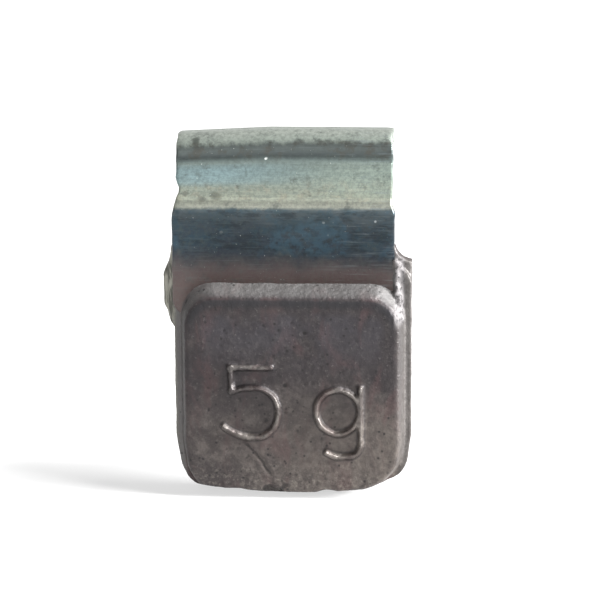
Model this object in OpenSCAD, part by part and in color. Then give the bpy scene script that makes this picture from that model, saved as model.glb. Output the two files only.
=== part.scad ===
// Clip-on wheel balance weight: a soft metal casting poured round a spring steel clip.
// +Z points out from the wheel's centre, -Y is the side that shows on the wheel.
// The origin is where the edge of the rim flange seats, in the middle of the clip's gap.

/* [Clip strip] */
// Width of the steel strip at the shank
clip_w = 12.3; // [11:0.1:16]
// Width of the strip over the crest
hook_w = 12; // [10.8:0.1:12.2]
// Thickness of the steel strip
strip_t = 0.8; // [0.6:0.05:1.1]
// Width of the tongue behind the rim flange
tongue_w = 10.4; // [8:0.1:10.6]
// Distance from the middle of the casting to the middle of the clip, to the left
clip_offset = 0.5; // [0:0.05:0.6]

/* [Clip bends] */
// Gap inside the clip that takes the rim flange
throat_gap = 2.2; // [1.9:0.1:3.4]
// Inside radius of the two bends over the flange edge
crest_r = 0.5; // [0.3:0.05:0.6]
// Fall of the crest towards the tongue
crest_lean = 8; // [3:1:12]
// Straight neck under the front crest bend
neck_len = 0.15; // [0.1:0.05:1.5]
// Distance from the neck forward to the shank
jog_step = 1.45; // [1.1:0.05:2]
// Slope of the step between neck and shank, from upright
jog_angle = 32; // [28:1:42]
// Inside radius of the step's two bends
jog_r = 0.5; // [0.3:0.05:0.7]
// Length of the bare shank, from the step to the casting
shank_bare = 3.9; // [3:0.1:6]
// Length of the shank inside the casting
shank_cast = 6; // [5:0.1:8]
// Diameter of the locking hole in the shank, filled by the casting
lock_hole_d = 3; // [2:0.1:4]
// Width of the shank's foot inside the casting
foot_w = 11; // [9:0.1:11.4]
// Depth below the ledge at which the shank has narrowed to its foot
foot_drop = 2; // [1.5:0.1:2.5]
// Radius of the foot's corners
foot_corner_r = 1; // [0.5:0.1:1.5]
// Straight length of the tongue
tongue_len = 3.6; // [3:0.1:4]
// Lean of the tongue towards the flange
tongue_lean = 7; // [3:1:10]
// Length of the straight lip at the tongue's end
lip_len = 0.5; // [0.3:0.1:0.8]
// Angle that the lip flares out from the tongue
lip_angle = 40; // [20:1:50]
// Radius of the lip's corners
lip_corner_r = 1.2; // [0.6:0.1:2]

/* [Casting] */
// Width of the base at the parting line
base_w = 13.2; // [13:0.1:18]
// Height of the casting, from the ledge to the lowest point
casting_h = 12.1; // [10:0.1:15]
// Thickness of metal in front of the shank
cover_front = 1; // [0.7:0.05:2]
// Thickness of metal behind the shank
cover_back = 0.56; // [0.4:0.02:1.5]
// Width of the front block at its root
block_w = 12.6; // [12.4:0.1:17]
// Corner radius of the front block and the base
corner_r = 1.2; // [1:0.1:2.5]
// Radius of the bowed bottom edge
belly_r = 40; // [16:1:60]
// Drop of the ledge from the clip to the front face
ledge_fall = 0.57; // [0.3:0.01:0.9]
// Inset of the front face at each side and at the bottom
face_inset = 0.35; // [0.2:0.01:0.6]
// Size of the soft edge round the front face and the back face
soft_edge = 0.25; // [0.1:0.01:0.35]

/* [Shoulders] */
// Height of the base above the ledge, behind the clip
base_rise = 1.15; // [0.8:0.05:2]
// Radius of the hollow that runs up the clip's right edge
hollow_r = 1.7; // [1.2:0.1:2.4]
// Width of the strip of metal beside the clip's right edge, under the hollow
hollow_w = 0.95; // [0.6:0.05:1.5]
// Distance that the left lobe stands out from its root
lobe_out = 0.6; // [0.2:0.05:1]
// Distance from the clip's left edge in to the lobe's root
lobe_root_in = 0.05; // [0:0.01:0.3]
// Height of the left lobe above the ledge
lobe_up = 2.2; // [1.6:0.1:2.8]
// Height of the left lobe below the ledge
lobe_down = 2.9; // [1.5:0.1:5]
// Depth of the lobe and the hollow, back from the parting line
flash_t = 0.7; // [0.4:0.05:0.9]

/* [Mark] */
// Height of the raised figure
mark_h = 4.4; // [3:0.1:4.8]
// Width of the raised strokes
stroke_w = 0.42; // [0.3:0.01:0.55]
// Height of the strokes above the front face
mark_relief = 0.2; // [0.1:0.01:0.4]
// Distance of the figure to the left of the middle of the face
figure_left = 2.3; // [1.7:0.05:2.5]
// Distance of the letter to the right of the middle of the face
letter_right = 2.7; // [2.2:0.05:3.1]
// Distance of the figure's middle below the middle of the face
figure_down = 0.35; // [-1:0.05:1]
// Distance of the letter's middle below the middle of the face
letter_down = 1.55; // [0:0.05:1.9]

/* [Hidden] */
$fn = 48;
slice = 0.01;
past = 1;
hair = 0.0004;
raw_w = clip_w + 2 * past;
past_start = 0.05;

// Depths, front to back
neck_y = -(throat_gap + strip_t) / 2;
shank_y = neck_y - jog_step;
shank_front_y = shank_y - strip_t / 2;
face_y = shank_front_y - cover_front;
back_y = shank_y + strip_t / 2 + cover_back;

// Heights, top to bottom
crest_mid_r = crest_r + strip_t / 2;
crest_z = strip_t / 2 / cos(crest_lean);
crest_flat = throat_gap / 2 - crest_r;
front_flat = crest_flat / cos(crest_lean) - crest_mid_r * tan(crest_lean);
rear_flat = crest_flat / cos(crest_lean) + crest_mid_r * tan(crest_lean);
neck_z = crest_z + front_flat * sin(crest_lean) - crest_mid_r * cos(crest_lean);
jog_mid_r = jog_r + strip_t / 2;
jog_run = (jog_step - 2 * jog_mid_r * (1 - cos(jog_angle))) / sin(jog_angle);
jog_drop = 2 * jog_mid_r * sin(jog_angle) + jog_run * cos(jog_angle);
ledge_z = neck_z - neck_len - jog_drop - shank_bare;
shank_foot_z = ledge_z - shank_cast;
bottom_z = ledge_z - casting_h;
base_top_z = ledge_z + base_rise;
root_top_z = ledge_z + ledge_fall * strip_t / 2 / cover_front;
face_top_z = ledge_z - ledge_fall;
face_bottom_z = bottom_z + face_inset;
face_w = block_w - 2 * face_inset;
face_mid_z = (face_top_z + face_bottom_z) / 2;
top_z = strip_t + crest_mid_r;

// Lowest point of the lip
tongue_end_z = crest_z - rear_flat * sin(crest_lean) - crest_mid_r * (cos(crest_lean) + sin(tongue_lean));
lip_bend_z = jog_mid_r * (sin(tongue_lean) + sin(lip_angle - tongue_lean));
lip_run_z = lip_len * cos(lip_angle - tongue_lean) + strip_t / 2 * sin(lip_angle - tongue_lean);
lip_z = tongue_end_z - tongue_len * cos(tongue_lean) - lip_bend_z - lip_run_z;

// Each step of a path is [straight run, turn to the left in degrees, inside radius].
FRONT_PATH = [
    [front_flat, 90 + crest_lean, crest_r],
    [neck_len, -jog_angle, jog_r],
    [jog_run, jog_angle, jog_r],
    [shank_bare + shank_cast, 0, 0],
];
TONGUE_PATH = [
    [rear_flat, crest_lean - 90 - tongue_lean, crest_r],
    [tongue_len, lip_angle, jog_r],
    [lip_len, 0, 0],
];

// One bend of a ribbon that heads along +Y, round an axis along Z.
// It is moved out by a hair and drawn a little long, so that it bites into its neighbours.
module bend(turn, inner_r, thick, wide) {
    mid_r = inner_r + thick / 2;
    side = turn > 0 ? -1 : 1;
    over = sqrt(2 * hair / mid_r) * 180 / PI;
    out = hair / cos(turn / 2);
    translate([side * (mid_r - out * cos(turn / 2)), out * sin(abs(turn) / 2), 0])
        rotate([0, 0, (turn > 0 ? 0 : 180 + turn) - over])
            rotate_extrude(angle = abs(turn) + 2 * over)
                translate([inner_r, 0])
                    square([thick, wide]);
}

// A ribbon that starts at the origin, heads along +Y and follows a path.
module ribbon(path, thick, wide, i = 0) {
    if (i < len(path)) {
        run = path[i][0];
        turn = path[i][1];
        mid_r = path[i][2] + thick / 2;
        side = turn > 0 ? -1 : 1;
        back = i > 0 ? sqrt(2 * hair * (path[i - 1][2] + thick / 2)) : past_start;
        on = turn != 0 ? sqrt(2 * hair * mid_r) : 0;
        translate([-thick / 2, -back, 0])
            cube([thick, back + run + on, wide]);
        if (turn != 0)
            translate([0, run, 0])
                bend(turn, path[i][2], thick, wide);
        translate([side * mid_r * (1 - cos(turn)), run + mid_r * sin(abs(turn)), 0])
            rotate([0, 0, turn])
                ribbon(path, thick, wide, i + 1);
    }
}

// A rectangle with true round corners, from its middle bottom point upwards.
module rounded_plate(w, h, r) {
    translate([-w / 2 + r, 0]) square([w - 2 * r, h]);
    translate([-w / 2, r]) square([w, h - 2 * r]);
    for (x = [-w / 2 + r, w / 2 - r], z = [r, h - r])
        translate([x, z]) circle(r);
}

// Stands a flat outline up, facing the front, between two depths.
module upright(y_from, y_to) {
    translate([0, y_to, 0])
        rotate([90, 0, 0])
            linear_extrude(y_to - y_from)
                children();
}

// Puts a path that heads along the strip into the clip's section, wider than the strip.
module in_section(heading) {
    translate([-raw_w / 2, 0, crest_z])
        rotate([90, 0, 90])
            rotate([0, 0, heading])
                children();
}

// Outline of the strip seen from above: it narrows to the tongue behind the crest.
module strip_plan() {
    back = throat_gap + strip_t + tongue_len;
    narrow_y = (throat_gap + strip_t / 2) / 2;
    wide_y = narrow_y - (raw_w - tongue_w) / 2;
    far = min(wide_y, shank_front_y) - past;
    polygon([
        [-raw_w / 2, far], [raw_w / 2, far], [raw_w / 2, wide_y], [tongue_w / 2, narrow_y],
        [tongue_w / 2, back], [-tongue_w / 2, back], [-tongue_w / 2, narrow_y], [-raw_w / 2, wide_y],
    ]);
}

// Outline of the clip's front from its foot upwards: narrow foot, wide shank, slimmer hook.
module front_outline() {
    narrow = shank_cast - foot_drop;
    wide = narrow + (clip_w - foot_w) / 2;
    bend = shank_cast + shank_bare;
    slim = bend + (clip_w - hook_w);
    high = top_z - shank_foot_z;
    rounded_plate(foot_w, shank_cast, foot_corner_r);
    polygon([
        [-foot_w / 2, narrow], [foot_w / 2, narrow], [clip_w / 2, wide], [clip_w / 2, bend],
        [hook_w / 2, slim], [hook_w / 2, high], [-hook_w / 2, high], [-hook_w / 2, slim],
        [-clip_w / 2, bend], [-clip_w / 2, wide],
    ]);
}

// Outline of the tongue from its lip upwards, with round corners at the lip.
module tongue_outline() {
    rounded_plate(tongue_w, 3 * lip_corner_r, lip_corner_r);
    translate([-hook_w / 2, 1.5 * lip_corner_r])
        square([hook_w, top_z - lip_z - 1.5 * lip_corner_r]);
}

// The spring steel strip: shank, step, neck, crest, tongue and lip.
module clip_solid() {
    difference() {
        intersection() {
            union() {
                intersection() {
                    in_section(90 - crest_lean) ribbon(FRONT_PATH, strip_t, raw_w);
                    translate([0, 0, shank_foot_z])
                        upright(shank_front_y - past, past)
                            front_outline();
                }
                intersection() {
                    in_section(-90 - crest_lean) ribbon(TONGUE_PATH, strip_t, raw_w);
                    translate([0, 0, lip_z])
                        upright(-past, throat_gap + strip_t + tongue_len)
                            tongue_outline();
                }
            }
            translate([0, 0, shank_foot_z - past])
                linear_extrude(top_z + past - shank_foot_z)
                    strip_plan();
        }
        translate([0, 0, (ledge_z + shank_foot_z) / 2])
            upright(shank_front_y - past, shank_y + strip_t + past)
                circle(d = lock_hole_d);
    }
}

module clip() {
    color([0.55, 0.62, 0.62])
        translate([-clip_offset, 0, 0])
            clip_solid();
}

// The corners and the bowed bottom of a block's outline, for a hull to join.
module outline_marks(y_from, y_to, w, bottom, top, r) {
    corner_x = w / 2 - r;
    corner_z = bottom + belly_r - sqrt((belly_r - r) ^ 2 - corner_x ^ 2);
    upright(y_from, y_to) {
        for (x = [-corner_x, corner_x], z = [corner_z, top - r])
            translate([x, z]) circle(r, $fn = 32);
        intersection() {
            translate([0, bottom + belly_r]) circle(belly_r, $fn = 144);
            translate([-corner_x + r / 2, bottom - r]) square([2 * corner_x - r, 2 * r]);
        }
    }
}

// The front half of the casting: a drafted block with a soft edge round its face.
module front_block() {
    edge = soft_edge / 2;
    soft_y = face_y + soft_edge;
    hull() {
        outline_marks(shank_y - slice, shank_y, block_w, bottom_z, root_top_z, corner_r);
        outline_marks(soft_y, soft_y + slice, face_w + soft_edge, face_bottom_z - edge, face_top_z + edge, corner_r);
        outline_marks(face_y, face_y + slice, face_w - soft_edge, face_bottom_z + edge, face_top_z - edge, corner_r);
    }
}

// The back half of the casting, with its back edges drawn in.
module base() {
    edge = soft_edge;
    hull() {
        outline_marks(shank_y - slice, back_y - edge, base_w, bottom_z, base_top_z, corner_r);
        outline_marks(back_y - slice, back_y, base_w - 2 * edge, bottom_z + edge, base_top_z - edge, corner_r);
    }
}

// The metal that creeps up beside the clip: a hollow on the right and a lobe on the left.
module shoulders() {
    right_edge = clip_w / 2 - clip_offset;
    left_edge = clip_w / 2 + clip_offset;
    root_x = left_edge - lobe_root_in;
    translate([0, base_top_z - corner_r])
        square([right_edge + hollow_w, corner_r]);
    difference() {
        translate([right_edge, base_top_z - corner_r])
            square([hollow_w, corner_r + 0.7 * hollow_r]);
        translate([right_edge + hollow_r, base_top_z + hollow_r]) circle(hollow_r);
    }
    polygon([
        [0, base_top_z - corner_r], [0, base_top_z], [-clip_w / 2, base_top_z],
        [-clip_w / 2, ledge_z + lobe_up], [-root_x - lobe_out / 3, ledge_z + lobe_up],
        [-root_x - lobe_out, ledge_z + 0.3 * lobe_up], [-root_x - lobe_out, ledge_z - 0.6 * lobe_down],
        [-root_x, ledge_z - lobe_down], [0, ledge_z - lobe_down],
    ]);
}

// Strokes standing out of the front face, drawn with X to the right and Y up.
module on_face(right, down) {
    translate([right, face_y + mark_relief, face_mid_z - down])
        rotate([90, 0, 0])
            children();
}

// The figure 5: a bar and stem in one stroke, and a bowl made of four bends.
module figure_five() {
    relief = 2 * mark_relief;
    bar = 0.58 * mark_h;
    stem = 0.38 * mark_h;
    top = (mark_h - stroke_w) / 2;
    half = stroke_w / 2;
    bowl_r = 0.31 * mark_h - half;
    BAR_PATH = [[bar, 0, 0]];
    STEM_PATH = [[stem, 0, 0]];
    BOWL_PATH = [
        [0.1, -25, 0.55 * mark_h], [0.2, -90, bowl_r],
        [0.1, -90, bowl_r], [0.3, -42, 0.5 * mark_h],
    ];
    translate([bar / 2 + 0.1, top, 0])
        rotate([0, 0, 90])
            ribbon(BAR_PATH, stroke_w, relief);
    translate([half - bar / 2 + 0.1, top + half, 0])
        rotate([0, 0, 180])
            ribbon(STEM_PATH, stroke_w, relief);
    translate([half - bar / 2, top + half - stem, 0])
        rotate([0, 0, -65])
            ribbon(BOWL_PATH, stroke_w, relief);
}

// The letter g: a round bowl, a stem and a hooked tail.
module letter_g() {
    relief = 2 * mark_relief;
    bowl_r = 0.27 * mark_h;
    top = 0.48 * mark_h;
    TAIL_PATH = [[0.74 * mark_h, -90, 0.1 * mark_h], [0.14 * mark_h, -32, 0.3 * mark_h]];
    translate([0, top - bowl_r - stroke_w / 2, 0])
        difference() {
            cylinder(h = relief, r = bowl_r + stroke_w / 2);
            translate([0, 0, -past]) cylinder(h = relief + 2 * past, r = bowl_r - stroke_w / 2);
        }
    translate([bowl_r + 0.12, top, 0])
        rotate([0, 0, 180])
            ribbon(TAIL_PATH, stroke_w, relief);
}

module weight_body() {
    color([0.36, 0.33, 0.32])
        difference() {
            union() {
                front_block();
                base();
                upright(shank_y, shank_y + flash_t) shoulders();
                on_face(-figure_left, figure_down) figure_five();
                on_face(letter_right, letter_down) letter_g();
            }
            translate([-clip_offset, 0, 0]) clip_solid();
        }
}

weight_body();
clip();
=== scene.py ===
import bpy
import bmesh
import math
from mathutils import Matrix, Vector, kdtree, noise


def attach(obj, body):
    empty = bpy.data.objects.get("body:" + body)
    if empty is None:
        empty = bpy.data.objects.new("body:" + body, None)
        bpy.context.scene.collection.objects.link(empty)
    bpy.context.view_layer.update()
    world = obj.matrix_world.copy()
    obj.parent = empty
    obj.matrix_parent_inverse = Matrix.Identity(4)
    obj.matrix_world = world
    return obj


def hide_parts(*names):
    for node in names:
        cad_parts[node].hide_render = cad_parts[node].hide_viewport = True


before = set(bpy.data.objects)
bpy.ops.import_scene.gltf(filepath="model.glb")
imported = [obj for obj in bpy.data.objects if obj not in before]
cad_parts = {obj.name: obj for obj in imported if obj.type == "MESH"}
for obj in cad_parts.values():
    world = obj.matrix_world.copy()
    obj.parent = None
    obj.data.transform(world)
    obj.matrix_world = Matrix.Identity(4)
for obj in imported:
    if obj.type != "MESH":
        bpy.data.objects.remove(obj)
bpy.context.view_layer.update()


# Clip. One strip of spring steel, blanked to width and bent to hook over the rim flange.
# It is zinc plated and passivated, so it runs from grey green over straw to blue, and the
# hot lead has tinted it brown near the casting. Over these colours lies painted reflection:
# light on the crest and the slope, dark at the neck and on the shank. Its narrow foot is cast into the lead.
mm = 0.001
strip_t = 0.8
rolled_edge = 0.13
shank_w = 12.3
hook_w = 12.0
tongue_w = 10.4
foot_w = 11.0
clip_x = -0.5
bend_r = 0.5
flange_gap = 2.2
crest_lean = 8
neck_len = 0.15
jog_step = 1.45
jog_turn = 32
shank_bare = 3.9
shank_cast = 6.0
hook_taper = 0.6
foot_drop = 2.0
foot_taper = 0.65
foot_corner_r = 1.0
tongue_len = 3.6
tongue_lean = 7
tongue_taper = (0.5, 1.3)
lip_len = 0.5
lip_turn = 40
lip_corner_r = 1.2
notch_travel = 4.1
notch_deep = 0.42
notch_half = 0.55
crest_fall = 0.05
fall_from_x = -1
fall_from_z = -3
ragged_by = 0.06
sway_by = 0.03
feed_step = 0.3
bend_step = 8

lean = math.radians(crest_lean)
jog = math.radians(jog_turn)
crest_mid_r = bend_r + strip_t / 2
half_gap = flange_gap / 2 - bend_r
crest_z = strip_t / 2 / math.cos(lean)
front_flat = half_gap / math.cos(lean) - crest_mid_r * math.tan(lean)
rear_flat = half_gap / math.cos(lean) + crest_mid_r * math.tan(lean)
neck_z = crest_z + front_flat * math.sin(lean) - crest_mid_r * math.cos(lean)
jog_run = (jog_step - 2 * crest_mid_r * (1 - math.cos(jog))) / math.sin(jog)
bend_z = neck_z - neck_len - 2 * crest_mid_r * math.sin(jog) - jog_run * math.cos(jog)
ledge_z = bend_z - shank_bare
shank_y = -(flange_gap + strip_t) / 2 - jog_step


def form_strip(mesh, end, at, way, axis, half_t, path, travel, sign):
    """Feeds the strip on from its end face, straight and round bends. Each step of the path is
    (straight length, turn in degrees, inside radius), and the travel layer keeps the distance
    fed so far, counted up or down by sign."""
    gone = 0.0
    for run, turn, inner_r in path:
        pieces = max(1, round(run / feed_step)) if run else 0
        for _ in range(pieces):
            fed = bmesh.ops.extrude_face_region(mesh, geom=end)["geom"]
            moved = [g for g in fed if isinstance(g, bmesh.types.BMVert)]
            end = [g for g in fed if isinstance(g, bmesh.types.BMFace)]
            bmesh.ops.translate(mesh, verts=moved, vec=way * (run / pieces))
            gone += run / pieces
            for v in moved:
                v[travel] = sign * gone
        at = at + way * run
        bends = math.ceil(abs(turn) / bend_step)
        mid_r = inner_r + half_t
        centre = at + axis.cross(way) * math.copysign(mid_r, turn)
        for _ in range(bends):
            geom = end + list({e for f in end for e in f.edges}) + list({v for f in end for v in f.verts})
            spun = bmesh.ops.spin(mesh, geom=geom, cent=centre, axis=axis, steps=1,
                                  angle=math.radians(turn / bends), use_duplicate=False)["geom_last"]
            end = [g for g in spun if isinstance(g, bmesh.types.BMFace)]
            gone += mid_r * math.radians(abs(turn) / bends)
            for v in {v for f in end for v in f.verts}:
                v[travel] = sign * gone
        if bends:
            turned = Matrix.Rotation(math.radians(turn), 3, axis)
            at = centre + turned @ (at - centre)
            way = turned @ way


# The strip's section, with rolled edges, laid over the crest and fed both ways
strip = bmesh.new()
strip_travel = strip.verts.layers.float.new("travel")
bmesh.ops.create_grid(strip, x_segments=1, y_segments=1, size=0.5)
bmesh.ops.scale(strip, verts=strip.verts, vec=(shank_w, strip_t, 1))
bmesh.ops.bevel(strip, geom=strip.verts[:], offset=rolled_edge, offset_type="OFFSET", segments=3,
                profile=0.5, affect="VERTICES", material=-1)
long_edges = [e for e in strip.edges if e.calc_length() > shank_w / 2]
bmesh.ops.subdivide_edges(strip, edges=long_edges, cuts=39)
upended = Matrix.Rotation(math.radians(90) - lean, 3, "X")
bmesh.ops.rotate(strip, verts=strip.verts, cent=(0, 0, 0), matrix=upended)
crest = Vector((0, 0, crest_z))
bmesh.ops.translate(strip, verts=strip.verts, vec=crest)
across = Vector((1, 0, 0))
to_front = Vector((0, -math.cos(lean), math.sin(lean)))
form_strip(strip, strip.faces[:], crest, to_front, across, strip_t / 2, [
    (front_flat, 90 + crest_lean, bend_r), (neck_len, -jog_turn, bend_r),
    (jog_run, jog_turn, bend_r), (shank_bare + shank_cast, 0, 0),
], strip_travel, 1)
start = [f for f in strip.faces if all(v[strip_travel] == 0 for v in f.verts)]
form_strip(strip, start, crest, -to_front, across, strip_t / 2, [
    (rear_flat, crest_lean - 90 - tongue_lean, bend_r), (tongue_len, lip_turn, bend_r), (lip_len, 0, 0),
], strip_travel, -1)
tip = max(-v[strip_travel] for v in strip.verts)
foot = max(v[strip_travel] for v in strip.verts)


def ramp(value, low, high):
    """0 below low, 1 above high, straight between."""
    return min(1.0, max(0.0, (value - low) / (high - low)))


def corner_cut(from_end, r):
    """How much half the width loses at a round corner, at a distance from the strip's end."""
    if from_end >= r:
        return 0.0
    return r - math.sqrt(max(0.0, r * r - (r - from_end) ** 2))


# The blank's width along its length, its rounded ends, and the worn, ragged edges
foot_top_z = ledge_z - foot_drop
for v in strip.verts:
    t = v[strip_travel]
    side = 1 if v.co.x > 0 else -1
    if t > 0 and v.co.z < bend_z:
        w = foot_w + (shank_w - foot_w) * ramp(v.co.z, foot_top_z, foot_top_z + foot_taper)
        w -= 2 * corner_cut(foot - t, foot_corner_r)
    elif t > 0 and v.co.z < bend_z + hook_taper:
        w = shank_w + (hook_w - shank_w) * ramp(v.co.z, bend_z, bend_z + hook_taper)
    else:
        w = hook_w + (tongue_w - hook_w) * ramp(v.co.y, *tongue_taper)
        v.co.z -= crest_fall * max(0, fall_from_x - v.co.x) * ramp(v.co.z, fall_from_z, 0)
        w -= 2 * corner_cut(tip + t, lip_corner_r)
    if side < 0:
        w -= notch_deep * math.exp(-((t - notch_travel) / notch_half) ** 2)
    bare = 1 if v.co.z > ledge_z else 0
    ragged = ragged_by * bare * noise.noise(Vector((side * 7.0, t * 1.6, 0)))
    v.co.x = v.co.x * (w / shank_w) + ragged * side * abs(v.co.x) / 6 + clip_x
    v.co.y += sway_by * bare * noise.noise(Vector((v.co.x * 0.25, t * 0.35, 3.0)))
bmesh.ops.remove_doubles(strip, verts=strip.verts, dist=0.0005)
bmesh.ops.scale(strip, verts=strip.verts, vec=(mm, mm, mm))
bmesh.ops.recalc_face_normals(strip, faces=strip.faces)
clip_mesh = bpy.data.meshes.new("spring_clip")
strip.to_mesh(clip_mesh)
strip.free()
clip_mesh.polygons.foreach_set("use_smooth", [True] * len(clip_mesh.polygons))


def placed(name, data):
    """A new object in the scene, for a mesh, a lamp or the camera."""
    obj = bpy.data.objects.new(name, data)
    bpy.context.scene.collection.objects.link(obj)
    return obj


clip = placed("spring_clip", clip_mesh)


def paint(r, g, b):
    """A colour given in display values from 0 to 255."""
    shown = [c / 255 for c in (r, g, b)]
    return tuple(c / 12.92 if c < 0.04045 else ((c + 0.055) / 1.055) ** 2.4 for c in shown) + (1.0,)


class Wire:
    """A socket in a material, so that masks are written as sums and products."""

    def __init__(self, finish, socket):
        self.finish = finish
        self.socket = socket

    def other(self, name):
        """Another output of the same node."""
        return Wire(self.finish, self.socket.node.outputs[name])

    def math(self, operation, a, b):
        return self.finish.put("ShaderNodeMath", {"operation": operation}, {0: a, 1: b})

    def __add__(self, other):
        return self.math("ADD", self, other)

    def __radd__(self, other):
        return self.math("ADD", other, self)

    def __sub__(self, other):
        return self.math("SUBTRACT", self, other)

    def __rsub__(self, other):
        return self.math("SUBTRACT", other, self)

    def __mul__(self, other):
        return self.math("MULTIPLY", self, other)

    def __rmul__(self, other):
        return self.math("MULTIPLY", other, self)

    def __truediv__(self, other):
        return self.math("DIVIDE", self, other)

    def __pow__(self, other):
        return self.math("POWER", self, other)

    def past(self, low, high):
        """0 below low, 1 above high, smooth between."""
        return self.finish.put("ShaderNodeMapRange", {"interpolation_type": "SMOOTHSTEP"},
                               {"Value": self, "From Min": low, "From Max": high})


class Finish:
    """The nodes of one material or world."""

    def __init__(self, owner):
        owner.use_nodes = True
        self.owner = owner
        self.tree = owner.node_tree
        self.tree.nodes.clear()

    def put(self, kind, settings=None, sockets=None, out=0):
        """Adds any node: first its settings, then the values and links of its sockets."""
        node = self.tree.nodes.new(kind)
        for key, value in (settings or {}).items():
            if key == "stops":
                stops = node.color_ramp.elements
                while len(stops) < len(value):
                    stops.new(0.5)
                for stop, (place, colour) in zip(stops, value):
                    stop.position = place
                    stop.color = colour
            else:
                setattr(node, key, value)
        for key, value in (sockets or {}).items():
            if isinstance(value, Wire):
                self.tree.links.new(value.socket, node.inputs[key])
            else:
                node.inputs[key].default_value = value
        return Wire(self, node.outputs[out]) if node.outputs else node

    def mix(self, factor, under, over):
        """One colour over another."""
        return self.put("ShaderNodeMix", {"data_type": "RGBA"}, {0: factor, 6: under, 7: over}, out=2)

    def grain(self, place, scale, detail=3.0, rough=0.55, warp=0.0):
        """Noise from 0 to 1 at a scale in features per millimetre."""
        return self.put("ShaderNodeTexNoise", None, {"Vector": place, "Scale": scale, "Detail": detail,
                                                     "Roughness": rough, "Distortion": warp})

    def along(self, name):
        """A number that the mesh carries at its points."""
        return self.put("ShaderNodeAttribute", {"attribute_name": name}, out=2)

    def millimetres(self, stretch=(1, 1, 1)):
        """Object coordinates in millimetres, stretched along each axis."""
        place = self.put("ShaderNodeTexCoord", out=3)
        per_metre = tuple(s / mm for s in stretch)
        return self.put("ShaderNodeMapping", None, {"Vector": place, "Scale": per_metre})

    def close(self, sockets):
        """The surface shader with its values, joined to the output."""
        surface = self.put("ShaderNodeBsdfPrincipled", None, sockets)
        self.put("ShaderNodeOutputMaterial", None, {"Surface": surface})
        return self.owner


# Distances along the strip from the crest, with borders that wander
plated = Finish(bpy.data.materials.new("plated_spring_steel"))
place = plated.millimetres()
x_mm = plated.put("ShaderNodeSeparateXYZ", None, {"Vector": place})
travel = plated.along("travel")
cloud = plated.grain(place, 0.45, 3.0)
fleck = plated.grain(place, 2.2, 4.0, 0.65)
patchy = plated.grain(place, 0.9, 4.0, 0.7)
speck = plated.grain(place, 9.0, 2.0, 0.5)
fine = plated.grain(place, 5.0, 4.0, 0.75)
streaky = plated.grain(plated.millimetres((0.6, 1, 1.5)), 1.3, 5.0, 0.7)
drawn = plated.grain(plated.millimetres((0.35, 1, 7)), 1.6, 3.0, 0.6)
reach = travel + (cloud - 0.5) * 0.9 + (patchy - 0.5) * 0.8 + (fleck - 0.5) * 0.3 - x_mm * 0.012
edge_reach = travel + (fleck - 0.5) * 0.08 + x_mm * 0.004
crest_reach = edge_reach + (fleck - 0.5) * 0.20 + (patchy - 0.5) * 0.45

# The plating over the crest and down the jog, with painted reflection in it: a light crest,
# a dark line at the neck and a light slope. Then the shank, whose dark blue is partly painted
# dark reflection and partly the plating's blue, turning brown where the hot lead tinted it.
# The stops are shares of the first 10 mm of the strip.
ramp_run = 10
# Painted reflection over the plating: light crest, dark neck line, light slope
hook_tint_and_reflection = plated.put("ShaderNodeValToRGB", {"stops": [
    (0.00, paint(142, 148, 140)), (0.10, paint(146, 152, 144)), (0.135, paint(126, 134, 126)),
    (0.155, paint(74, 80, 78)), (0.190, paint(60, 66, 66)), (0.215, paint(82, 92, 90)),
    (0.26, paint(97, 107, 103)), (0.33, paint(110, 122, 116)), (0.39, paint(120, 128, 118)),
    (0.46, paint(130, 135, 122)), (0.505, paint(124, 126, 116)),
]}, {"Fac": crest_reach / ramp_run})
# Painted dark reflection on the shank over the plating's blue, brown near the lead
shank_tint_and_reflection = plated.put("ShaderNodeValToRGB", {"stops": [
    (0.00, paint(74, 82, 84)), (0.54, paint(62, 70, 74)), (0.60, paint(46, 54, 60)),
    (0.68, paint(42, 51, 60)), (0.76, paint(40, 46, 54)), (0.81, paint(52, 48, 50)),
    (0.86, paint(74, 60, 59)), (0.93, paint(82, 66, 63)),
]}, {"Fac": reach / ramp_run})
on_shank = edge_reach.past(5.06, 5.24)
skin = plated.mix(on_shank, hook_tint_and_reflection, shank_tint_and_reflection)
teal = patchy.past(0.42, 0.62) * on_shank * (1 - reach.past(7.2, 8.0)) * 0.6
skin = plated.mix(teal, skin, paint(38, 60, 70))
warm = fleck.past(0.48, 0.66) * travel.past(3.4, 4.1) * (1 - travel.past(4.8, 4.95)) * 0.5
skin = plated.mix(warm, skin, paint(140, 136, 120))
sky = (1 - x_mm.past(-5.0, 3.0)) * travel.past(2.4, 3.0) * (1 - travel.past(3.6, 4.1)) * 0.6
skin = plated.mix(sky, skin, paint(112, 136, 142))

# Single spots, each at its place across and along the strip
for at_x, at_travel, r, amount, colour in (
    (-5.4, 1.25, 0.22, 0.7, (44, 46, 42)),
    (-4.2, 4.55, 0.30, 0.6, (70, 66, 56)),
    (-5.0, 4.75, 0.22, 0.5, (66, 64, 58)),
    (-1.5, 2.15, 0.10, 0.9, (224, 230, 226)),
    (4.6, 5.7, 0.07, 0.7, (150, 156, 158)),
    (1.75, 5.8, 0.08, 0.6, (140, 148, 150)),
    (2.0, 6.5, 0.09, 0.5, (120, 130, 132)),
    (-3.9, 6.4, 0.10, 0.4, (118, 124, 124)),
):
    aside = x_mm - at_x
    ahead = travel - at_travel
    away = (aside * aside + ahead * ahead) ** 0.5 + (fleck - 0.5) * r * 2
    skin = plated.mix((1 - away.past(r * 0.4, r * 1.3)) * amount, skin, paint(*colour))
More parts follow.
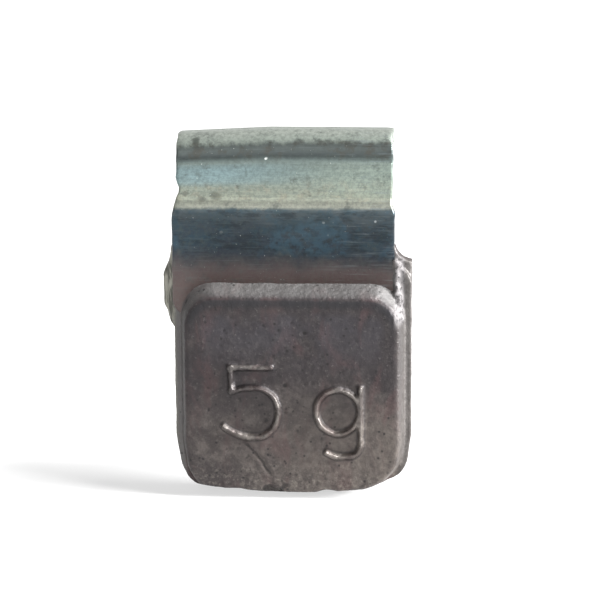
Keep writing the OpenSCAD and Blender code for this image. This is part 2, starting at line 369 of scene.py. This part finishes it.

# Stains, grain and scratches, with patches of painted dark reflection at the neck and painted glints
pale = x_mm.past(-1.0, 4.5) * travel.past(2.2, 2.8) * (1 - travel.past(4.2, 4.8)) * 0.40
skin = plated.mix(pale, skin, paint(138, 150, 138))
# Painted dark reflection: darker patches over the dark line at the neck
neck_dark_reflection = patchy.past(0.48, 0.62) * travel.past(1.3, 1.5) * (1 - travel.past(1.9, 2.3)) * 0.6
skin = plated.mix(neck_dark_reflection, skin, paint(62, 58, 50))
shade = drawn.past(0.46, 0.58) * travel.past(2.1, 2.5) * (1 - travel.past(4.6, 5.0)) * 0.22
skin = plated.mix(shade, skin, paint(80, 92, 90))
smudge = patchy.past(0.50, 0.68) * fleck.past(0.45, 0.60) * 0.6
skin = plated.mix(smudge, skin, paint(62, 66, 64))
grainy = fine.past(0.40, 0.62) * 0.34
skin = plated.mix(grainy, skin, paint(60, 66, 64))
mottle = (1 - streaky).past(0.46, 0.64) * on_shank * (1 - reach.past(7.4, 8.2)) * 0.5
skin = plated.mix(mottle, skin, paint(24, 29, 33))
dusky = (1 - fine).past(0.44, 0.60) * reach.past(7.4, 8.2) * 0.30
skin = plated.mix(dusky, skin, paint(52, 47, 50))
# Painted glints: small light specks
painted_glint = speck.past(0.72, 0.78) * 0.5
skin = plated.mix(painted_glint, skin, paint(190, 195, 190))
lines = drawn.past(0.54, 0.68) * (0.05 + x_mm.past(1.5, 4.5) * 0.14)
skin = plated.mix(lines, skin, paint(130, 140, 144))
blue = (1 - cloud).past(0.46, 0.60) * fleck.past(0.42, 0.58) * on_shank * (1 - reach.past(7.2, 8.0)) * 0.45
skin = plated.mix(blue, skin, paint(52, 78, 92))
tinted = reach.past(7.2, 8.4)
relief = fleck * 0.6 + drawn * 0.4 + fine * 0.4
bumps = plated.put("ShaderNodeBump", None, {"Strength": 0.35, "Distance": 0.00003, "Height": relief})
clip_mesh.materials.append(plated.close({
    "Base Color": skin,
    "Metallic": 0.75 - tinted * 0.45,
    "Roughness": 0.30 + (fleck - 0.5) * 0.25 + cloud * 0.06 + tinted * 0.15,
    "Normal": bumps,
}))
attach(clip, "root")
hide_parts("clip")


# Casting. Lead alloy poured in a die round the foot of the clip: a drafted front block with
# the raised 5 g, a wider base behind the parting line, and flash that crept up beside the
# strip. It is as cast, dull and pitted, with a soft edge everywhere.
base_w = 13.2
block_w = 12.6
casting_h = 12.1
cover_front = 1.0
cover_back = 0.56
base_rise = 1.15
ledge_fall = 0.57
face_inset = 0.35
corner_r = 1.2
top_corner_r = 1.7
soft_edge = 0.24
belly_r = 40
sag = 0.53
corner_lift = 0.38

face_w = block_w - 2 * face_inset
face_y = shank_y - strip_t / 2 - cover_front
back_y = shank_y + strip_t / 2 + cover_back
bottom_z = ledge_z - casting_h
low_z = bottom_z + sag
base_top_z = ledge_z + base_rise
root_top_z = ledge_z + ledge_fall * strip_t / 2 / cover_front
face_top_z = ledge_z - ledge_fall
face_mid_z = (face_top_z + bottom_z + face_inset) / 2

metal = bmesh.new()
metal_travel = metal.verts.layers.float.new("travel")


def block(front_y, rear_y, front, rear, upper_r, edge):
    """A drafted block. front and rear are (half width, bottom, top) there."""
    made = bmesh.ops.create_cube(metal, size=1.0)["verts"]
    for v in made:
        in_front = v.co.y < 0
        half, low, high = front if in_front else rear
        x = math.copysign(half, v.co.x)
        v.co = Vector((x, front_y if in_front else rear_y, high if v.co.z > 0 else low))
    middle = sum(v.co.z for v in made) / 8
    ends = {e for v in made for e in v.link_edges}
    upright = [e for e in ends if abs(e.verts[0].co.y - e.verts[1].co.y) > 0.1]
    lower = [e for e in upright if e.verts[0].co.z < middle]
    upper = [e for e in upright if e.verts[0].co.z > middle]
    for edges, r in ((lower, corner_r), (upper, upper_r)):
        bmesh.ops.bevel(metal, geom=edges, offset=r, offset_type="OFFSET", segments=8,
                        profile=0.5, affect="EDGES", material=-1)
    if edge:
        caps = [f for f in metal.faces if all(abs(v.co.y - front_y) < 1e-6 for v in f.verts)]
        bmesh.ops.bevel(metal, geom=[e for f in caps for e in f.edges], offset=edge, offset_type="OFFSET",
                        segments=3, profile=0.5, affect="EDGES", material=-1)


block(shank_y - 0.35, back_y, (base_w / 2, low_z, base_top_z),
      (base_w / 2 - 0.08, low_z + 0.05, base_top_z - 0.05), corner_r, 0)
block(face_y, shank_y, (face_w / 2, low_z + face_inset, face_top_z),
      (block_w / 2, low_z, root_top_z), top_corner_r, soft_edge)


def plate(outline, y_from, y_to):
    """A flat piece of flash with an outline in x and z."""
    ring = [metal.verts.new((x, y_from, z)) for x, z in outline]
    made = metal.faces.new(ring)
    out = bmesh.ops.extrude_face_region(metal, geom=[made], use_keep_orig=True)["geom"]
    moved = [g for g in out if isinstance(g, bmesh.types.BMVert)]
    bmesh.ops.translate(metal, verts=moved, vec=(0, y_to - y_from, 0))


# The shoulder on the right with its hollow, and the lobe on the left in three layers
flash_front_y = shank_y - 0.07
flash_back_y = back_y - 0.21
right = shank_w / 2 + clip_x
hollow_r = 1.0
hollow = []
for a in (8, 20, 32, 44, 58, 72, 86):
    out_by = hollow_r * (1 - math.cos(math.radians(a)))
    up_by = hollow_r * (1 - math.sin(math.radians(a)))
    hollow.append((right + out_by, base_top_z + 0.1 + up_by))
plate([(right - 1.2, base_top_z - 2), (right - 1.2, base_top_z + 1.0)] + hollow
      + [(base_w / 2, base_top_z + 0.10), (base_w / 2, base_top_z - 2)], flash_front_y, flash_back_y)
left = -base_w / 2
for out, low, high, y_from, y_to in (
    (0.32, 2.5, 2.15, flash_front_y, flash_front_y + 0.30),
    (0.60, 2.2, 1.5, flash_front_y + 0.24, flash_front_y + 0.60),
    (0.45, 2.9, 1.9, flash_front_y + 0.50, flash_front_y + 0.80),
):
    plate([(left + 1.6, ledge_z - low), (left + 1.6, ledge_z + high), (left - 0.1, ledge_z + high),
           (left - out * 0.7, ledge_z + high * 0.55), (left - out, ledge_z + 0.4),
           (left - out, ledge_z - low * 0.62), (left - out * 0.6, ledge_z - low * 0.85),
           (left + 0.02, ledge_z - low)], y_from, y_to)

# Beads of lead down the strip's right edge
bead_count = 34
for i in range(bead_count):
    share = i / (bead_count - 1)
    lean_out = ramp(share, 0.35, 1.0)
    wobble = Vector([noise.noise(Vector((i * 1.7, k * 4.3, 0))) for k in range(3)])
    spot = Vector((right + 0.12 + 0.32 * lean_out, shank_y - 0.30 - 0.55 * lean_out,
                   ledge_z + 1.35 - 3.3 * share))
    bmesh.ops.create_icosphere(metal, subdivisions=2, radius=0.14 + 0.10 * abs(wobble.x),
                               matrix=Matrix.Translation(spot + wobble * 0.20))


def stroke(at, way, path):
    """A raised stroke of the mark, with sloping sides, fed along its path on the face."""
    outwards = Vector((0, -1, 0))
    turn = Matrix((outwards.cross(way), outwards, way)).transposed()
    made = bmesh.ops.create_grid(metal, x_segments=1, y_segments=1, size=0.5)["verts"]
    for v in made:
        wide = 0.12 if v.co.y > 0 else 0.66
        v.co = at + turn @ Vector((v.co.x * wide, v.co.y * 0.66 - 0.01, 0))
    form_strip(metal, [made[0].link_faces[0]], at, way, outwards, 0, path, metal_travel, 1)


def on_face(x, z):
    """A point on the front face, given across and up from its middle."""
    return Vector((x, face_y, face_mid_z + z))


# The figure 5 as bar, stem and bowl, and the letter g as a ring with its tail
rightwards = Vector((1, 0, 0))
downwards = Vector((0, 0, -1))
mark_h = 4.4
bar = 2.55
stem = 1.62
bowl_r = 1.27
five_left = -3.58
five_top = mark_h / 2 - 0.35
bowl_way = Matrix.Rotation(math.radians(25), 3, (0, -1, 0)) @ rightwards
stroke(on_face(five_left, five_top - 0.21), rightwards, [(bar, 0, 0)])
stroke(on_face(five_left + 0.21, five_top - 0.05), downwards, [(stem, 0, 0)])
stroke(on_face(five_left + 0.11, five_top - stem - 0.05), bowl_way, [
    (0.1, -25, 2.5), (0.3, -90, bowl_r), (0.1, -90, bowl_r), (0.35, -42, 2.3),
])
ring_x = 2.55
ring_top = 0.4
ring_r = 1.19
tail_len = 3.2
stroke(on_face(ring_x, ring_top), rightwards, [(0.01, -90, ring_r)] * 4)
stroke(on_face(ring_x + 1.27, ring_top + 0.25), downwards, [(tail_len, -90, 0.60), (0.6, -32, 1.5)])

# The parts welded to one skin
bmesh.ops.recalc_face_normals(metal, faces=metal.faces)
rough_mesh = bpy.data.meshes.new("casting_rough")
metal.to_mesh(rough_mesh)
metal.free()
rough = placed("casting_rough", rough_mesh)
welded = rough.modifiers.new("weld", "REMESH")
welded.mode = "VOXEL"
welded.voxel_size = 0.08
welded.adaptivity = 0.0
bpy.context.view_layer.update()
cast_mesh = bpy.data.meshes.new_from_object(rough.evaluated_get(bpy.context.evaluated_depsgraph_get()))
cast_mesh.name = "lead_casting"
bpy.data.objects.remove(rough)


def eased(share):
    """A share from 0 to 1 with a smooth start and end."""
    return share * share * (3 - 2 * share)


# The bowed bottom, with its right corner cut away and its lower corners drawn in
metal = bmesh.new()
metal.from_mesh(cast_mesh)
for _ in range(2):
    bmesh.ops.smooth_vert(metal, verts=metal.verts, factor=0.5,
                          use_axis_x=True, use_axis_y=True, use_axis_z=True)
for v in metal.verts:
    out = min(6.5, abs(v.co.x))
    drop = sag - (belly_r - math.sqrt(belly_r ** 2 - out ** 2)) - corner_lift * eased(ramp(v.co.x, 3.7, 5.5))
    drop -= 0.16 * max(0.0, noise.noise(Vector((v.co.x * 0.8, 0, 4))))
    v.co.z -= eased(1 - ramp(v.co.z, bottom_z + 1.0, bottom_z + 6.0)) * drop
    narrow = 1 - ramp(v.co.z, bottom_z + 1.2, bottom_z + 3.4)
    draw_in = 0.36 if v.co.x < 0 else -0.30
    v.co.x += draw_in * narrow * max(0.0, abs(v.co.x) - 5) / 1.6
metal.normal_update()

# Dents over the face
tree = kdtree.KDTree(len(metal.verts))
for v in metal.verts:
    tree.insert(v.co, v.index)
tree.balance()
dents = {}
dent_count = 110
for i in range(dent_count):
    r = [noise.noise(Vector((i * 3.17 + k * 11.3, 0.7 + k, 1.9))) for k in range(4)]
    spot = Vector((r[0] * 9.5, face_y, face_mid_z + r[1] * 9.0))
    size = 0.11 + 0.16 * abs(r[2])
    deep = 0.03 + 0.07 * abs(r[3])
    for co, index, away in tree.find_range(spot, size):
        dents[index] = dents.get(index, 0.0) + deep * (1 - (away / size) ** 2) ** 2

# A crease that runs to a scab at the bottom edge, and the roughness of the whole skin
crease = [Vector((x, 0, face_mid_z - down)) for x, down in ((-2.7, 2.65), (-1.95, 3.4), (-1.25, 4.5))]
scab_x = -0.95
scab_z = bottom_z + 0.55
stroke_height = metal.verts.layers.float.new("relief")
pitted = metal.verts.layers.float.new("pit")
inset = metal.verts.layers.float.new("inset")
for v in metal.verts:
    p = v.co
    swell = 0.030 * noise.noise(p * 0.42) + 0.018 * noise.noise(p * 1.3 + Vector((5, 0, 0)))
    grit = 0.012 * noise.noise(p * 4.2) + 0.006 * noise.noise(p * 9.0)
    deep = dents.get(v.index, 0.0)
    if p.y < face_y + 0.35:
        flat = Vector((p.x + 0.12 * noise.noise(p * 2.0), 0, p.z))
        gap = 9.0
        for a, b in zip(crease, crease[1:]):
            share = min(1, max(0, (flat - a).dot(b - a) / (b - a).length_squared))
            gap = min(gap, (flat - a.lerp(b, share)).length)
        deep += 0.07 * max(0, 1 - gap / 0.12) - 0.04 * max(0, 1 - abs(gap - 0.25) / 0.15)
    if p.y < face_y + 0.45:
        scab = max(0.0, 1 - ((p.x - scab_x) / 0.95) ** 2 - ((p.z - scab_z) / 0.50) ** 2)
        deep += scab * 0.20 * max(0.0, 0.35 + 1.8 * noise.noise(p * 2.2))
    v[stroke_height] = max(0.0, face_y - p.y)
    v[pitted] = max(0.0, deep)
    past_x = max(0, abs(p.x) - (face_w / 2 - top_corner_r))
    past_z = max(0, p.z - (face_top_z - top_corner_r))
    v[inset] = top_corner_r - math.hypot(past_x, past_z) if p.z > face_mid_z else face_w / 2 - abs(p.x)
    lump = 0.045 * noise.noise(p * 2.4 + Vector((0, 0, 8))) * min(1.0, v[stroke_height] / 0.12)
    v.co = p + v.normal * (swell + grit + lump - deep)
bmesh.ops.scale(metal, verts=metal.verts, vec=(mm, mm, mm))
metal.to_mesh(cast_mesh)
metal.free()
cast_mesh.polygons.foreach_set("use_smooth", [True] * len(cast_mesh.polygons))
casting = placed("lead_casting", cast_mesh)
cast_mesh.materials.clear()

# Bare lead with stains and pores, and painted light that makes the face darker at the top and lighter
# towards the bottom and the right
lead = Finish(bpy.data.materials.new("cast_lead"))
place = lead.millimetres()
x_mm = lead.put("ShaderNodeSeparateXYZ", None, {"Vector": place})
y_mm = x_mm.other("Y")
z_mm = x_mm.other("Z")
raised = lead.along("relief")
pit = lead.along("pit")
inside = lead.along("inset")
cloud = lead.grain(place, 0.32, 4.0, 0.6)
patch = lead.grain(place, 1.1, 5.0, 0.65, 0.4)
stain = lead.grain(lead.millimetres((1, 1, 0.45)), 0.7, 3.0, 0.6, 0.6)
grit = lead.grain(place, 5.0, 3.0, 0.6)
fine = lead.grain(place, 2.6, 5.0, 0.8)
coarse = lead.grain(place, 3.4, 3.0, 0.7)
layers = lead.grain(lead.millimetres((4, 1, 0.5)), 1.3, 3.0, 0.7)
pores = lead.put("ShaderNodeTexVoronoi", {"feature": "F1"}, {"Vector": place, "Scale": 2.4})
# Painted light: the face grows lighter towards the bottom and towards the right
lower = 1 - z_mm.past(face_mid_z - 3.5, face_mid_z + 2.0)
light = lower * (0.24 + x_mm.past(-6.0, 3.0) * 0.72)
tone_and_painted_light = light + (cloud - 0.5) * 0.8 + (patch - 0.5) * 0.4
skin = lead.mix(tone_and_painted_light, paint(34, 29, 31), paint(78, 71, 66))
skin = lead.mix(patch.past(0.42, 0.66) * 0.38, skin, paint(36, 29, 32))
# Light patches, made stronger towards the bottom as painted light
skin = lead.mix((1 - patch).past(0.46, 0.72) * 0.26 * (0.35 + lower * 0.65), skin, paint(112, 104, 98))
skin = lead.mix(fine.past(0.44, 0.66) * 0.32, skin, paint(30, 26, 27))
skin = lead.mix((1 - fine).past(0.50, 0.70) * 0.12, skin, paint(110, 105, 102))
skin = lead.mix(stain.past(0.48, 0.70) * 0.36, skin, paint(72, 50, 50))

# The crust along the bottom edge
crust = (1 - z_mm.past(bottom_z + 0.4, bottom_z + 3.6)) * (0.3 + (1 - cloud).past(0.35, 0.6) * 0.7)
skin = lead.mix(coarse.past(0.52, 0.64) * crust * 0.55, skin, paint(30, 25, 24))
skin = lead.mix((1 - coarse).past(0.54, 0.66) * crust * 0.24, skin, paint(136, 130, 120))

# The pale rim round the face, painted as highlight on the ledge, the painted shade line just under it, and
# the cooler metal below that
# Painted highlight on the ledge round the face, mottled
rim = (1 - inside.past(-0.25, 0.10)) * (1 - y_mm.past(shank_y, shank_y + 0.10))
skin = lead.mix(rim * (0.25 + patch * 0.5), skin, paint(98, 97, 96))
# Painted shade: a dark line just under the ledge
under_ledge_shade = inside.past(0.05, 0.20) * (1 - inside.past(0.35, 0.8)) * z_mm.past(ledge_z - 3.2, ledge_z - 1.2)
skin = lead.mix(under_ledge_shade * 0.75, skin, paint(22, 22, 26))
cool = inside.past(0.6, 1.2) * z_mm.past(ledge_z - 5.5, ledge_z - 2.2) * cloud.past(0.35, 0.6) * 0.35
skin = lead.mix(cool, skin, paint(50, 50, 58))

# Pores and dents, and a few light grains
skin = lead.mix((1 - pores.past(0.10, 0.24)) * patch.past(0.40, 0.54) * 0.8, skin, paint(16, 14, 14))
skin = lead.mix(pit.past(0.015, 0.06) * 0.6, skin, paint(22, 19, 19))
skin = lead.mix(grit.past(0.60, 0.76) * 0.14, skin, paint(130, 126, 122))

# The right wall, painted lighter as lit from the right, the layered lobe on the left, and the bright chafed
# corner
wall_x = block_w / 2
# Painted light: the right wall made lighter, mottled
right_wall_light = x_mm.past(wall_x - 0.3, wall_x) * (1 - y_mm.past(shank_y + 0.05, shank_y + 0.55))
skin = lead.mix(right_wall_light * (0.2 + patch * 0.5), skin, paint(92, 88, 85))
lobe = (1 - x_mm.past(left - 0.1, left + 0.2)) * (1 - y_mm.past(shank_y + 0.35, shank_y + 0.85))
skin = lead.mix(lobe, skin, paint(122, 121, 112))
skin = lead.mix(lobe * layers.past(0.42, 0.56) * 0.8, skin, paint(40, 40, 34))
bright = 1 - y_mm.past(shank_y + 0.05, shank_y + 0.35)
bright = bright * x_mm.past(wall_x - 0.7, wall_x - 0.55) * (1 - x_mm.past(wall_x - 0.2, wall_x))
bright = bright * z_mm.past(ledge_z - 2.4, ledge_z - 1.6) * (1 - z_mm.past(ledge_z + 1.3, ledge_z + 1.7))
chafed = x_mm.past(wall_x - 0.7, wall_x - 0.4) * (0.30 + fine.past(0.42, 0.60) * 0.40)
skin = lead.mix(chafed, skin, paint(58, 54, 52))
skin = lead.mix(bright * 0.6, skin, paint(112, 109, 110))
skin = lead.mix(bright * grit.past(0.50, 0.60) * 0.8, skin, paint(34, 31, 32))

# Painted shade round the foot of the raised strokes, which are rubbed on top
# Painted shade where the strokes meet the face
skin = lead.mix(raised.past(0.005, 0.03) * (1 - raised.past(0.05, 0.12)) * 0.55, skin, paint(26, 23, 24))
rubbed = raised.past(0.09, 0.2)
skin = lead.mix(rubbed * (0.05 + (1 - patch).past(0.44, 0.62) * 0.16), skin, paint(156, 151, 145))
relief = patch * 0.7 + grit * 0.8
bumps = lead.put("ShaderNodeBump", None, {"Strength": 0.7, "Distance": 0.00006, "Height": relief})
cast_mesh.materials.append(lead.close({
    "Base Color": skin,
    "Metallic": 0.40 + rubbed * 0.15 - bright * 0.20,
    "Roughness": 0.50 + (patch - 0.5) * 0.3 - rubbed * (0.10 + (0.5 - grit) * 0.5) + bright * 0.16,
    "Normal": bumps,
}))
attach(casting, "root")
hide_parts("weight_body")


# Stage. A pale floor under the weight and soft studio light from the upper right,
# with the camera at the photograph's angle.
floor_gap = 0.06
floor_half = 3.0
floor_mesh = bpy.data.meshes.new("floor")
ground = bmesh.new()
bmesh.ops.create_grid(ground, x_segments=1, y_segments=1, size=floor_half)
bmesh.ops.translate(ground, verts=ground.verts, vec=(0, 0, (bottom_z - floor_gap) * mm))
ground.to_mesh(floor_mesh)
ground.free()
floor = placed("floor", floor_mesh)
white = (1, 1, 1, 1)


def in_view(finish):
    """1 where the camera looks, also by way of a shine or through glass."""
    seen = finish.put("ShaderNodeLightPath")
    mirrored = seen.math("MAXIMUM", seen.other("Is Glossy Ray"), seen.other("Is Transmission Ray"))
    return seen.math("MAXIMUM", seen, mirrored)


# The floor looks pale in the picture and keeps the weight's shadow
pale = Finish(bpy.data.materials.new("pale_floor"))
matt = pale.put("ShaderNodeBsdfDiffuse", None, {"Color": (0.86, 0.86, 0.86, 1)})
glow = pale.put("ShaderNodeEmission", None, {"Color": white, "Strength": 1.0})
floor_look = pale.put("ShaderNodeMixShader", None, {0: in_view(pale) * 0.62, 1: matt, 2: glow})
pale.put("ShaderNodeOutputMaterial", None, {"Surface": floor_look})
floor_mesh.materials.append(pale.owner)

# A dim world lights the weight, and a pale one stands behind it in the picture
studio = bpy.data.worlds.new("studio")
bpy.context.scene.world = studio
air = Finish(studio)
dim = air.put("ShaderNodeBackground", None, {"Color": white, "Strength": 0.28})
backdrop = air.put("ShaderNodeBackground", None, {"Color": white, "Strength": 0.90})
world_look = air.put("ShaderNodeMixShader", None, {0: in_view(air), 1: dim, 2: backdrop})
air.put("ShaderNodeOutputWorld", None, {"Surface": world_look})

weight_middle = Vector((0, 0, -0.010))


def softbox(name, at, size, watts):
    """A square soft lamp that faces the middle of the weight."""
    light = bpy.data.lights.new(name, "AREA")
    light.size = size
    light.energy = watts
    lamp = placed(name, light)
    lamp.location = at
    beam = weight_middle - Vector(at)
    lamp.rotation_euler = beam.to_track_quat("-Z", "Y").to_euler()


softbox("key", (0.16, -0.03, 0.24), 0.08, 2.1)
softbox("side", (0.27, -0.034, 0.06), 0.06, 3.2)
softbox("fill", (-0.05, -0.27, 0.08), 0.20, 0.2)

bpy.context.scene.view_settings.view_transform = "Standard"
view_az = math.radians(4)
view_el = math.radians(15)
view_roll = math.radians(-0.4)
distance = 0.18
view_w = 0.0334
aim = Vector((0.00034, -0.0021, -0.00855))
away = Matrix.Rotation(view_az, 3, "Z") @ Vector((0, -math.cos(view_el), math.sin(view_el)))
lens = bpy.data.cameras.new("camera")
lens.sensor_fit = "HORIZONTAL"
lens.sensor_width = 36
lens.lens = 36 * distance / view_w
lens.clip_start = 0.001
camera = placed("camera", lens)
camera.location = aim + away * distance
rolled = Matrix.Rotation(view_roll, 3, away)
camera.rotation_euler = (rolled @ (-away).to_track_quat("-Z", "Y").to_matrix()).to_euler()
bpy.context.scene.camera = camera
